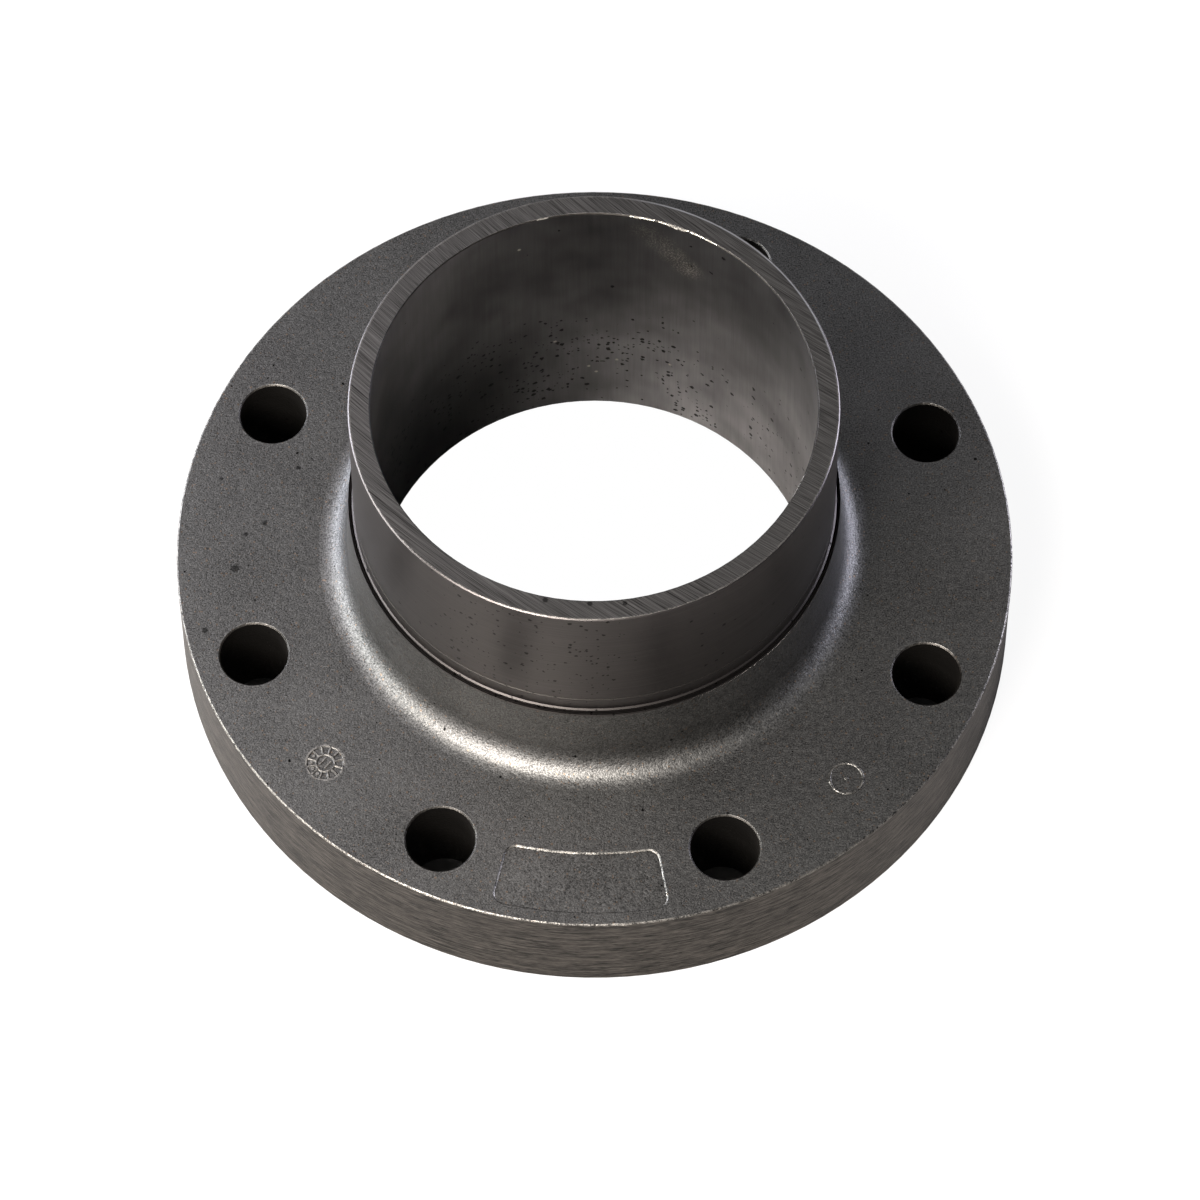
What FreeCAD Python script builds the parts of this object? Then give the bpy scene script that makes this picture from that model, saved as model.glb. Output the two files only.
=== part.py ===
import FreeCAD, Part
import math
import os

import Sketcher
from FreeCAD import Placement, Rotation, Vector

# Cast pipe flange with a plain neck, one solid piece.
# The frame: Z is the bore axis, +Z points out of the neck, and Z = 0 is the
# flat underside that the gasket meets. The panel on the face is on the -Y side.
# Lengths are millimetres and angles are degrees.

SIZES = {
    # plate
    "bolt_circle": 240.0,
    "rim_margin": 19.75,
    "plate_thickness": 40.0,
    "rim_draft": 2.0,
    "edge_break": 0.5,
    # hub: the cone between the plate and the neck
    "hub_rise": 32.3,
    "hub_step": 1.7,
    "hub_draft": 4.0,
    "root_radius": 10.0,
    # neck, which a pipe or hose is joined to
    "neck_diameter": 158.0,
    "neck_length": 59.4,
    "neck_draft": 1.15,
    "neck_wall": 7.0,
    "end_chamfer": 0.4,
    # turned relief at the foot of the neck
    "foot_lip": 0.5,
    "lip_rise": 1.05,
    "notch_depth": 0.8,
    "pass_height": 7.1,
    "pass_step": 0.15,
    # bore
    "bore_draft": 1.85,
    "bore_lead": 5.9,
    # bolt holes
    "bolt_count": 8,
    "bolt_hole": 22.6,
    "bolt_turn": 22.5,
    "hole_chamfer": 0.5,
    # recessed panel on the face
    "panel_turn": -90.0,
    "panel_spread": 24.2,
    "panel_gap": 4.75,
    "panel_width": 20.4,
    "panel_corner": 3.5,
    "panel_depth": 0.7,
    "panel_slope": 0.55,
    # slope of the walls of the dial's cells
    "mark_slope": 40.0,
    # round dial on the face, with cells round a centre
    "dial_turn": 225.0,
    "dial_diameter": 12.0,
    "dial_centre": 5.7,
    "dial_cells": 12,
    "spoke_width": 0.35,
    "dial_depth": 0.4,
    "dot_diameter": 1.1,
    "dot_count": 4,
    "dot_turn": 150.0,
    "slot_width": 2.2,
    "slot_length": 3.2,
    "slot_wall": 0.5,
    "slot_turn": 51.0,
    # plain ring on the face
    "ring_turn": 315.0,
    "ring_diameter": 11.8,
    "ring_width": 0.9,
    "ring_height": 0.3,
    "ring_bevel": 0.2,
    "ring_dot": 1.4,
}

# How near two places must be to count as the same
NEAR = 0.01

# Places worked out from the sizes
PLATE_R = "(sizes.bolt_circle / 2 + sizes.rim_margin)"
RIM_FOOT_R = "(" + PLATE_R + " + sizes.plate_thickness * tan(sizes.rim_draft))"
FACE_Z = "sizes.plate_thickness"
HUB_TOP_Z = "(sizes.plate_thickness + sizes.hub_rise)"
NECK_R = "(sizes.neck_diameter / 2)"
LIP_R = "(" + NECK_R + " + sizes.foot_lip)"
HUB_TOP_R = "(" + NECK_R + " + sizes.hub_step)"
HUB_FOOT_R = "(" + HUB_TOP_R + " + sizes.hub_rise * tan(sizes.hub_draft))"
LIP_TOP_Z = "(" + HUB_TOP_Z + " + sizes.lip_rise)"
PASS_Z = "(" + HUB_TOP_Z + " + sizes.pass_height)"
END_Z = "(" + HUB_TOP_Z + " + sizes.neck_length)"
NECK_END_R = (
    "(" + NECK_R + " - sizes.pass_step"
    " - (sizes.neck_length - sizes.pass_height) * tan(sizes.neck_draft))"
)
BORE_END_R = "(" + NECK_END_R + " - sizes.neck_wall)"
BORE_FOOT_R = (
    "(" + BORE_END_R + " + (" + END_Z + " - sizes.bore_lead) * tan(sizes.bore_draft))"
)
MARKS_R = "sizes.bolt_circle / 2"


def make_sheet(doc):
    """The sheet of driving sizes, one named cell for each."""
    sheet = doc.addObject("Spreadsheet::Sheet", "sizes")
    for row, (name, number) in enumerate(SIZES.items(), start=1):
        sheet.set("A%d" % row, name)
        sheet.set("B%d" % row, str(number))
        sheet.setAlias("B%d" % row, name)
    doc.recompute()
    return sheet


def value(holder, formula):
    """The number that a formula on the sheet gives now."""
    result = holder.evalExpression(formula)
    return float(getattr(result, "Value", result))


def origin_part(body, role):
    """The body's own origin plane or axis with this role."""
    return [part for part in body.Origin.OriginFeatures if part.Role == role][0]


def bind(sketch, constraint, name, formula):
    """Adds a constraint, names it and ties it to a formula on the sheet."""
    index = sketch.addConstraint(constraint)
    sketch.renameConstraint(index, name)
    sketch.setExpression("Constraints." + name, formula)


def bind_point(sketch, geometry, end, name, x_formula, y_formula):
    """Ties one point of the sketch to two formulas, measured from its origin."""
    x_now = value(sketch, x_formula)
    y_now = value(sketch, y_formula)
    across = Sketcher.Constraint("DistanceX", -1, 1, geometry, end, x_now)
    bind(sketch, across, name + "_x", x_formula)
    up = Sketcher.Constraint("DistanceY", -1, 1, geometry, end, y_now)
    bind(sketch, up, name + "_y", y_formula)


def closed_outline(sketch, corners):
    """A closed outline of straight lines through named corners."""
    points = [Vector(value(sketch, x), value(sketch, y), 0) for _, x, y in corners]
    count = len(points)
    for i in range(count):
        sketch.addGeometry(Part.LineSegment(points[i], points[(i + 1) % count]))
    for i in range(count):
        sketch.addConstraint(Sketcher.Constraint("Coincident", i, 2, (i + 1) % count, 1))
    for i, (name, x, y) in enumerate(corners):
        bind_point(sketch, i, 1, name, x, y)


def face_sketch(body, name, x="0", y="0", z=FACE_Z, turn="0"):
    """A sketch that lies flat at a place and turn tied to the sheet."""
    sketch = body.newObject("Sketcher::SketchObject", name)
    sketch.AttachmentSupport = [(origin_part(body, "XY_Plane"), "")]
    sketch.MapMode = "FlatFace"
    sketch.AttachmentOffset = Placement(Vector(), Rotation(Vector(0, 0, 1), 1.0))
    sketch.setExpression("AttachmentOffset.Base.x", x)
    sketch.setExpression("AttachmentOffset.Base.y", y)
    sketch.setExpression("AttachmentOffset.Base.z", z)
    sketch.setExpression("AttachmentOffset.Rotation.Angle", turn)
    return sketch


def add_circle(sketch, name, x, y, radius):
    """A circle with its centre and radius tied to the sheet."""
    centre = Vector(value(sketch, x), value(sketch, y), 0)
    circle = Part.Circle(centre, Vector(0, 0, 1), value(sketch, radius))
    index = sketch.addGeometry(circle)
    bind_point(sketch, index, 3, name, x, y)
    bind(sketch, Sketcher.Constraint("Radius", index, value(sketch, radius)), name + "_r", radius)


def settle(body, feature, before, adds):
    """Recomputes and stops unless the feature added or took away material."""
    body.Document.recompute()
    change = feature.Shape.Volume - before
    if adds != (change > 0) or change == 0:
        raise RuntimeError("%s changed the volume by %.3f" % (feature.Name, change))


def cut_down(body, sketch, name, depth, slope=None):
    """A pocket down from a flat sketch, with walls that may slope outwards."""
    before = body.Shape.Volume
    pocket = body.newObject("PartDesign::Pocket", name)
    pocket.Profile = sketch
    pocket.setExpression("Length", depth)
    if slope:
        pocket.setExpression("TaperAngle", "-(" + slope + ")")
    settle(body, pocket, before, adds=False)
    return pocket


def raise_up(body, sketch, name, height):
    """A pad straight up from a flat sketch."""
    before = body.Shape.Volume
    pad = body.newObject("PartDesign::Pad", name)
    pad.Profile = sketch
    pad.setExpression("Length", height)
    settle(body, pad, before, adds=True)
    return pad


def repeat_round(body, feature, name, axis, count, angle, adds):
    """A pattern of the feature round an axis."""
    before = body.Shape.Volume
    pattern = body.newObject("PartDesign::PolarPattern", name)
    pattern.Originals = [feature]
    pattern.Axis = axis
    pattern.setExpression("Angle", angle)
    pattern.setExpression("Occurrences", count)
    body.Tip = pattern
    settle(body, pattern, before, adds)
    return pattern


def ring_edges(shape, radius, centre):
    """Names of the edges that are level circles with this radius and centre."""
    names = []
    for number, edge in enumerate(shape.Edges, start=1):
        curve = edge.Curve
        if not isinstance(curve, Part.Circle):
            continue
        near_radius = abs(curve.Radius - radius) < NEAR
        if near_radius and curve.Center.distanceToPoint(centre) < NEAR:
            names.append("Edge%d" % number)
    return names


def upright_edges(shape, spots):
    """Names of the edges that run straight down from these spots on the face."""
    names = []
    for number, edge in enumerate(shape.Edges, start=1):
        ends = [vertex.Point for vertex in edge.Vertexes]
        if len(ends) != 2 or abs(ends[0].z - ends[1].z) < NEAR:
            continue
        upper = max(ends, key=lambda point: point.z)
        if any(upper.distanceToPoint(spot) < NEAR for spot in spots):
            names.append("Edge%d" % number)
    return names


def edges_on_face(shape, height, inner_r, outer_r):
    """Names of the edges at this height with both ends between two radii."""
    names = []
    for number, edge in enumerate(shape.Edges, start=1):
        ends = [vertex.Point for vertex in edge.Vertexes]
        flat = all(abs(point.z - height) < NEAR for point in ends)
        between = all(
            inner_r - NEAR < math.hypot(point.x, point.y) < outer_r + NEAR for point in ends
        )
        if flat and between:
            names.append("Edge%d" % number)
    return names


def dress_edges(body, kind, name, edges, size, formula):
    """A fillet or chamfer on the named edges of the body as it stands."""
    if not edges:
        raise RuntimeError("no edges found for " + name)
    base = body.Tip
    feature = body.newObject("PartDesign::" + kind, name)
    feature.Base = (base, edges)
    feature.setExpression(size, formula)
    body.Document.recompute()


def dress_rings(body, kind, name, rings, size, formula, x="0", y="0"):
    """A fillet or chamfer on the circles given as pairs of radius and height."""
    edges = []
    for radius, height in rings:
        centre = Vector(value(body, x), value(body, y), value(body, height))
        edges += ring_edges(body.Shape, value(body, radius), centre)
    dress_edges(body, kind, name, edges, size, formula)


def make_casting(body):
    """The whole turned form: drafted plate, hub cone, neck and tapered bore."""
    section = body.newObject("Sketcher::SketchObject", "section")
    section.AttachmentSupport = [(origin_part(body, "XZ_Plane"), "")]
    section.MapMode = "FlatFace"
    notch_pitch = "(sizes.hub_step - sizes.foot_lip) / 2"
    notch_z = "(" + HUB_TOP_Z + " - sizes.notch_depth)"
    closed_outline(section, [
        ("rim_foot", RIM_FOOT_R, "0"),
        ("rim_top", PLATE_R, FACE_Z),
        ("hub_foot", HUB_FOOT_R, FACE_Z),
        ("hub_top", HUB_TOP_R, HUB_TOP_Z),
        ("outer_notch", LIP_R + " + 1.5 * " + notch_pitch, notch_z),
        ("ridge", LIP_R + " + " + notch_pitch, HUB_TOP_Z),
        ("inner_notch", LIP_R + " + 0.5 * " + notch_pitch, notch_z),
        ("lip_foot", LIP_R, HUB_TOP_Z),
        ("lip_edge", LIP_R, LIP_TOP_Z + " - sizes.foot_lip"),
        ("lip_top", NECK_R, LIP_TOP_Z),
        ("pass_foot", NECK_R, PASS_Z),
        ("pass_top", NECK_R + " - sizes.pass_step", PASS_Z + " + sizes.pass_step"),
        ("neck_end", NECK_END_R, END_Z),
        ("bore_end", BORE_END_R, END_Z),
        ("bore_foot", BORE_FOOT_R, "sizes.bore_lead"),
        ("lead_foot", BORE_FOOT_R + " + sizes.bore_lead", "0"),
    ])
    casting = body.newObject("PartDesign::Revolution", "casting")
    casting.Profile = section
    casting.ReferenceAxis = (section, ["V_Axis"])
    casting.Angle = 360.0
    body.Document.recompute()

    root = [(HUB_FOOT_R, FACE_Z)]
    dress_rings(body, "Fillet", "root_fillet", root, "Radius", "sizes.root_radius")
    rims = [(RIM_FOOT_R, "0"), (PLATE_R, FACE_Z)]
    dress_rings(body, "Chamfer", "rim_breaks", rims, "Size", "sizes.edge_break")
    ends = [(NECK_END_R, END_Z), (BORE_END_R, END_Z)]
    dress_rings(body, "Chamfer", "end_chamfers", ends, "Size", "sizes.end_chamfer")


def make_panel(body):
    """The shallow panel near the rim, its long edges concentric with the plate."""
    outline = face_sketch(body, "panel_outline", turn="sizes.panel_turn")
    outer = "(" + PLATE_R + " - sizes.panel_gap)"
    inner = "(" + outer + " - sizes.panel_width)"
    half = "(sizes.panel_spread / 2)"
    half_now = value(outline, half)

    def corner(radius, turn):
        return Rotation(Vector(0, 0, 1), turn).multVec(Vector(value(outline, radius), 0, 0))

    # Two long edges, centred on the axis, and two sides that point at it.
    for name, radius in (("outer", outer), ("inner", inner)):
        arc = Part.Arc(corner(radius, -half_now), corner(radius, 0), corner(radius, half_now))
        edge = outline.addGeometry(arc)
        outline.addConstraint(Sketcher.Constraint("Coincident", edge, 3, -1, 1))
        size = Sketcher.Constraint("Radius", edge, value(outline, radius))
        bind(outline, size, name + "_r", radius)
    for name, turn, end, tilt in (("left", -half_now, 1, "-"), ("right", half_now, 2, "")):
        line = Part.LineSegment(corner(inner, turn), corner(outer, turn))
        side = outline.addGeometry(line)
        outline.addConstraint(Sketcher.Constraint("Coincident", side, 1, 1, end))
        outline.addConstraint(Sketcher.Constraint("Coincident", side, 2, 0, end))
        outline.addConstraint(Sketcher.Constraint("PointOnObject", -1, 1, side))
        lean = Sketcher.Constraint("Angle", side, math.radians(turn))
        bind(outline, lean, name + "_turn", tilt + half + " * 1deg")
    cut_down(body, outline, "panel", "sizes.panel_depth")

    # The four upright corners are rounded, then the rim of the recess is sloped.
    turn_now = value(outline, "sizes.panel_turn")
    lift = Vector(0, 0, value(outline, FACE_Z))
    spots = [
        Rotation(Vector(0, 0, 1), turn_now).multVec(corner(radius, turn)) + lift
        for radius in (outer, inner)
        for turn in (-half_now, half_now)
    ]
    uprights = upright_edges(body.Shape, spots)
    dress_edges(body, "Fillet", "panel_corners", uprights, "Radius", "sizes.panel_corner")
    rim = edges_on_face(body.Shape, lift.z, value(outline, inner), value(outline, outer))
    dress_edges(body, "Chamfer", "panel_slope", rim, "Size", "sizes.panel_slope")


def make_bolt_holes(body):
    """One drilled hole with a small chamfer at the face, then the whole circle."""
    place = face_sketch(body, "bolt_place", turn="sizes.bolt_turn")
    add_circle(place, "hole", MARKS_R, "0", "sizes.bolt_hole / 2")
    body.Document.recompute()
    before = body.Shape.Volume
    hole = body.newObject("PartDesign::Hole", "bolt_hole")
    hole.Profile = place
    hole.ThreadType = "None"
    hole.DepthType = "ThroughAll"
    hole.setExpression("Diameter", "sizes.bolt_hole")
    hole.HoleCutType = "Countersink"
    hole.HoleCutCustomValues = True
    hole.setExpression("HoleCutDiameter", "sizes.bolt_hole + 2 * sizes.hole_chamfer")
    hole.HoleCutCountersinkAngle = 90.0
    settle(body, hole, before, adds=False)
    axis = (origin_part(body, "Z_Axis"), [""])
    repeat_round(body, hole, "bolt_holes", axis, "sizes.bolt_count", "360", adds=False)


def make_dial(body):
    """The round dial: sunk cells round a sunk centre, as a mould's date insert leaves."""
    x = MARKS_R + " * cos(sizes.dial_turn)"
    y = MARKS_R + " * sin(sizes.dial_turn)"
    half_pitch = "(180 / sizes.dial_cells)"
    inner = "(sizes.dial_centre / 2 + sizes.spoke_width)"
    outer = "(sizes.dial_diameter / 2)"

    cell = face_sketch(body, "dial_cell", x, y)
    reach = {"inner": value(cell, inner), "outer": value(cell, outer)}
    tilt = math.radians(value(cell, half_pitch))
    gap = value(cell, "sizes.spoke_width / 2")

    def spot(radius, side):
        # where a side of the cell, half a spoke's width off the spoke's middle, meets an edge
        turn = side * (tilt - math.asin(gap / radius))
        return Vector(radius * math.cos(turn), radius * math.sin(turn), 0)

    for name, formula in (("inner", inner), ("outer", outer)):
        radius = reach[name]
        arc = Part.Arc(spot(radius, -1), Vector(radius, 0, 0), spot(radius, 1))
        edge = cell.addGeometry(arc)
        cell.addConstraint(Sketcher.Constraint("Coincident", edge, 3, -1, 1))
        bind(cell, Sketcher.Constraint("Radius", edge, radius), name + "_r", formula)
    for name, side, end, sign in (("low", -1, 1, "-"), ("high", 1, 2, "")):
        line = Part.LineSegment(spot(reach["inner"], side), spot(reach["outer"], side))
        edge = cell.addGeometry(line)
        cell.addConstraint(Sketcher.Constraint("Coincident", edge, 1, 0, end))
        cell.addConstraint(Sketcher.Constraint("Coincident", edge, 2, 1, end))
        lean = Sketcher.Constraint("Angle", edge, side * tilt)
        bind(cell, lean, name + "_turn", sign + half_pitch + " * 1deg")
        off = Sketcher.Constraint("Distance", -1, 1, edge, gap)
        bind(cell, off, name + "_off", "sizes.spoke_width / 2")
    sunk = cut_down(body, cell, "cell", "sizes.dial_depth", "sizes.mark_slope")
    axis = (cell, ["N_Axis"])
    repeat_round(body, sunk, "cells", axis, "sizes.dial_cells", "360", adds=False)

    centre = face_sketch(body, "dial_middle", x, y)
    add_circle(centre, "middle", "0", "0", "sizes.dial_centre / 2")
    cut_down(body, centre, "middle", "sizes.dial_depth", "sizes.mark_slope")

    floor = FACE_Z + " - sizes.dial_depth"
    dots = face_sketch(body, "dot_place", x, y, floor, "sizes.dot_turn")
    add_circle(dots, "dot", "(" + inner + " + " + outer + ") / 2", "0", "sizes.dot_diameter / 2")
    dot = raise_up(body, dots, "dot", "sizes.dial_depth")
    sweep = "2 * " + half_pitch + " * (sizes.dot_count - 1)"
    repeat_round(body, dot, "dots", (dots, ["N_Axis"]), "sizes.dot_count", sweep, adds=True)

    for name, side in (("near", "-"), ("far", "")):
        bar = face_sketch(body, name + "_bar_outline", x, y, floor, "sizes.slot_turn")
        middle = side + "sizes.slot_width / 2"
        low = "(" + middle + " - sizes.slot_wall / 2)"
        high = "(" + middle + " + sizes.slot_wall / 2)"
        closed_outline(bar, [
            ("a", "-sizes.slot_length / 2", low),
            ("b", "sizes.slot_length / 2", low),
            ("c", "sizes.slot_length / 2", high),
            ("d", "-sizes.slot_length / 2", high),
        ])
        raise_up(body, bar, name + "_bar", "sizes.dial_depth")


def make_ring_mark(body):
    """The plain raised ring with a dot in its middle, on the other side of the panel."""
    x = MARKS_R + " * cos(sizes.ring_turn)"
    y = MARKS_R + " * sin(sizes.ring_turn)"
    outer = "(sizes.ring_diameter / 2)"
    inner = "(" + outer + " - sizes.ring_width)"
    ring = face_sketch(body, "ring_outline", x, y)
    add_circle(ring, "outside", "0", "0", outer)
    add_circle(ring, "inside", "0", "0", inner)
    raise_up(body, ring, "ring", "sizes.ring_height")
    dot = face_sketch(body, "ring_dot_outline", x, y)
    add_circle(dot, "dot", "0", "0", "sizes.ring_dot / 2")
    raise_up(body, dot, "ring_dot", "sizes.ring_height")
    top = FACE_Z + " + sizes.ring_height"
    rims = [(outer, top), (inner, top), ("sizes.ring_dot / 2", top)]
    dress_rings(body, "Chamfer", "ring_bevel", rims, "Size", "sizes.ring_bevel", x, y)


def check(doc):
    """Stops if any object failed or the casting isn't one sound solid."""
    failed = [item.Name for item in doc.Objects if {"Invalid", "Error"} & set(item.State)]
    if failed:
        raise RuntimeError("failed: " + ", ".join(failed))
    for body in doc.findObjects("PartDesign::Body"):
        shape = body.Shape
        if shape.isNull() or not shape.isValid() or len(shape.Solids) != 1:
            raise RuntimeError(body.Label + " isn't one sound solid")


def main():
    doc = FreeCAD.newDocument("pipe_flange")
    make_sheet(doc)
    body = doc.addObject("PartDesign::Body", "flange")
    body.Label = "flange"
    body.Placement = Placement()
    make_casting(body)
    make_panel(body)
    make_bolt_holes(body)
    make_dial(body)
    make_ring_mark(body)
    doc.recompute()
    check(doc)

    os.makedirs("parts", exist_ok=True)
    body.Shape.exportStep("parts/" + body.Label + ".step")
    box = body.Shape.BoundBox
    print("%s: %.1f cm3, %.1f x %.1f x %.1f mm, %d faces" % (
        body.Label, body.Shape.Volume / 1000, box.XLength, box.YLength, box.ZLength,
        len(body.Shape.Faces),
    ))


main()
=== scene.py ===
# %% [markdown]
# # A cast iron pipe flange
#
# The object is one casting: a thick round plate with eight bolt holes, a short
# cone that leads up from it, and a plain neck round a tapered bore. Its form
# comes from the CAD model, so this script gives it what the foundry and the
# lathe gave the real one: blasted grain, turned lines, a cut end, pores, worn
# edges and a torn burr. Then it lights and photographs it.
#
# The CAD model is loaded first, and its box is kept to print at the end.

# %% Load the frame
import math
import random

import bpy
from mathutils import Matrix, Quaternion, Vector


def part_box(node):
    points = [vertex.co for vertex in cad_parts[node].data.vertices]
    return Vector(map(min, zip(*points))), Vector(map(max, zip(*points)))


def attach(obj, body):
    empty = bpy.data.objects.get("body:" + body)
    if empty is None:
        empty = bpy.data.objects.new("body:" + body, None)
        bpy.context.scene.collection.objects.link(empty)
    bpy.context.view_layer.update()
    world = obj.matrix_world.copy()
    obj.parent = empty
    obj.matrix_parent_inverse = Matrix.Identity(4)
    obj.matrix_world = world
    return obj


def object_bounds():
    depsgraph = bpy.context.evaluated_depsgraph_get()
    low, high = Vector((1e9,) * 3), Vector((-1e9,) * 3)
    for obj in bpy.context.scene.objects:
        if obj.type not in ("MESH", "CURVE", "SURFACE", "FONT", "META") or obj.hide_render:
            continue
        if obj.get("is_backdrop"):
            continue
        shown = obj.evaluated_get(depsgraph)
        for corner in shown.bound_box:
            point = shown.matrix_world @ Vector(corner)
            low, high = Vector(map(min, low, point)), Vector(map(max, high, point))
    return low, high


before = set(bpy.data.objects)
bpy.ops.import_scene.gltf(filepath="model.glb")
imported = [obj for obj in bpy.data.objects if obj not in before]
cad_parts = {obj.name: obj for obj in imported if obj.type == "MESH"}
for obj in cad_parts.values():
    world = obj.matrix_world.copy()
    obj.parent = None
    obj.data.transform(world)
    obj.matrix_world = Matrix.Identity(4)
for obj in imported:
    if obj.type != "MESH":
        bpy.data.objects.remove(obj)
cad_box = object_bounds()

MM = 0.001
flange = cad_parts["flange"]
low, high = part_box("flange")
print("flange: %.1f mm across, %.1f mm high" % ((high.x - low.x) / MM, high.z / MM))

# %% [markdown]
# The finishes below change from one part of the casting to the next, so they
# have to know where each part is. The box gives the rim's foot and the neck's
# end. The other places are the casting's own sizes, in millimetres, as a maker
# would read them off the drawing. A name that ends in R is a radius, and one
# that ends in Z is a height above the underside.

# %% The casting's own places
RIM_FOOT_R = high.x / MM
END_Z = high.z / MM
FACE_Z = 40.0
RIM_TOP_R = 139.75
RELIEF_Z = 71.2
HUB_TOP_R = 80.7
LIP_EDGE_Z = 73.1
PASS_Z = 79.4
NECK_END_R = 77.7
BORE_END_R = 70.7
BORE_FOOT_R = 74.8
LEAD_Z = 5.9
HOLES_R = 120.0
HOLE_R = 11.3
HOLE_COUNT = 8
HUB_CLEAR_R = 100.0
PANEL_R = 124.8
PANEL_HALF_WIDTH = 10.2
PANEL_HALF_SPREAD = math.radians(12.1)
PANEL_CORNER = 3.5
DIAL_TURN = math.radians(225)
DIAL_R = 6.3
print("rim foot r %.1f mm, neck end at %.1f mm" % (RIM_FOOT_R, END_Z))

# %% [markdown]
# A material is a small machine made of nodes. These helpers keep each machine
# short enough to read: each one adds a node or a few, plugs in what it's given,
# and hands back the answer.

# %% Helpers for nodes


def put(tree, value, socket):
    """Plugs another node's answer into a socket, or writes a plain value there."""
    if isinstance(value, bpy.types.NodeSocket):
        tree.links.new(value, socket)
    else:
        socket.default_value = value


def calc(tree, operation, first, second=0.0, third=0.0):
    """One step of arithmetic."""
    node = tree.nodes.new("ShaderNodeMath")
    node.operation = operation
    for value, socket in zip((first, second, third), node.inputs):
        put(tree, value, socket)
    return node.outputs[0]


def soft_step(tree, value, start, end, before=0.0, after=1.0):
    """Goes smoothly from one number to another as a value passes from start to end."""
    node = tree.nodes.new("ShaderNodeMapRange")
    node.interpolation_type = "SMOOTHSTEP"
    for number, socket in zip((value, start, end, before, after), node.inputs):
        put(tree, number, socket)
    return node.outputs[0]


def between(tree, value, start, end, soft):
    """1 while a value is between two limits, and 0 outside them."""
    rise = soft_step(tree, value, start - soft, start + soft)
    fall = soft_step(tree, value, end - soft, end + soft, 1.0, 0.0)
    return calc(tree, "MULTIPLY", rise, fall)


LAYER_SOCKETS = {"FLOAT": (2, 3, 0), "VECTOR": (4, 5, 1), "RGBA": (6, 7, 2)}


def lay(tree, kind, mask, below, above):
    """One number, place or colour over another, where the mask says."""
    node = tree.nodes.new("ShaderNodeMix")
    node.data_type = kind
    low_socket, high_socket, answer_socket = LAYER_SOCKETS[kind]
    put(tree, mask, node.inputs[0])
    put(tree, below, node.inputs[low_socket])
    put(tree, above, node.inputs[high_socket])
    return node.outputs[answer_socket]


def split(tree, vector):
    """The three numbers of a place."""
    node = tree.nodes.new("ShaderNodeSeparateXYZ")
    put(tree, vector, node.inputs[0])
    return node.outputs[0], node.outputs[1], node.outputs[2]


def join(tree, x, y, z):
    """A place made from three numbers."""
    node = tree.nodes.new("ShaderNodeCombineXYZ")
    for value, socket in zip((x, y, z), node.inputs):
        put(tree, value, socket)
    return node.outputs[0]


def length(tree, first, second):
    """How long a step is that goes so far one way and so far across it."""
    squares = calc(tree, "MULTIPLY_ADD", first, first, calc(tree, "MULTIPLY", second, second))
    return calc(tree, "SQRT", squares)


def times(tree, vector, factor):
    """A place or a colour, times a number."""
    node = tree.nodes.new("ShaderNodeVectorMath")
    node.operation = "SCALE"
    put(tree, vector, node.inputs[0])
    put(tree, factor, node.inputs["Scale"])
    return node.outputs[0]


def place_in_mm(tree):
    """Where a point of the object is, in millimetres."""
    return times(tree, tree.nodes.new("ShaderNodeTexCoord").outputs["Object"], 1 / MM)


def noise(tree, place, scale, detail, roughness=0.5):
    """Cloudy noise from 0 to 1, with that many lumps to the unit."""
    node = tree.nodes.new("ShaderNodeTexNoise")
    put(tree, place, node.inputs["Vector"])
    node.inputs["Scale"].default_value = scale
    node.inputs["Detail"].default_value = detail
    node.inputs["Roughness"].default_value = roughness
    return node.outputs[0]


def speckles(tree, place, scale, size, share, ragged=0.0):
    """Small spots, few of them large: a share of the cells holds one each."""
    cell = tree.nodes.new("ShaderNodeTexVoronoi")
    put(tree, place, cell.inputs["Vector"])
    cell.inputs["Scale"].default_value = scale
    pick = tree.nodes.new("ShaderNodeSeparateColor")
    tree.links.new(cell.outputs["Color"], pick.inputs[0])
    chosen = calc(tree, "LESS_THAN", pick.outputs[0], share)
    spread = calc(tree, "POWER", pick.outputs[1], 3.0)
    reach = calc(tree, "MULTIPLY", size, calc(tree, "MULTIPLY_ADD", spread, 0.6, 0.4))
    depth = calc(tree, "SUBTRACT", calc(tree, "ADD", reach, ragged), cell.outputs["Distance"])
    inside = soft_step(tree, depth, 0.0, 0.05)
    return calc(tree, "MULTIPLY", inside, chosen)


def spot(tree, place, centre, reach, soft, waver=0.0):
    """1 near one place, and 0 farther from it than its reach."""
    node = tree.nodes.new("ShaderNodeVectorMath")
    node.operation = "DISTANCE"
    put(tree, place, node.inputs[0])
    node.inputs[1].default_value = centre
    distance = calc(tree, "ADD", node.outputs["Value"], waver)
    return soft_step(tree, distance, reach - soft, reach, 1.0, 0.0)


def start_group(name, takes, gives):
    """An empty node group with named inputs and outputs."""
    group = bpy.data.node_groups.new(name, "ShaderNodeTree")
    for label, kind in takes:
        group.interface.new_socket(label, in_out="INPUT", socket_type="NodeSocket" + kind)
    for label, kind in gives:
        group.interface.new_socket(label, in_out="OUTPUT", socket_type="NodeSocket" + kind)
    entry = group.nodes.new("NodeGroupInput").outputs
    answer = group.nodes.new("NodeGroupOutput").inputs
    return group, entry, answer


def use_group(tree, group, **values):
    """Places a group in a tree, with its inputs, and hands back its outputs."""
    node = tree.nodes.new("ShaderNodeGroup")
    node.node_tree = group
    for label, value in values.items():
        put(tree, value, node.inputs[label.capitalize()])
    return node.outputs


# %% [markdown]
# Where is each finish? On the real casting a finish ends at a tool's edge: the
# lathe stops at the little relief groove, the blasting stops at the rim. Masks
# could be painted by hand, but the part is round, so it is simpler and exact to
# work them out from the distance to the axis and the height.

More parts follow.
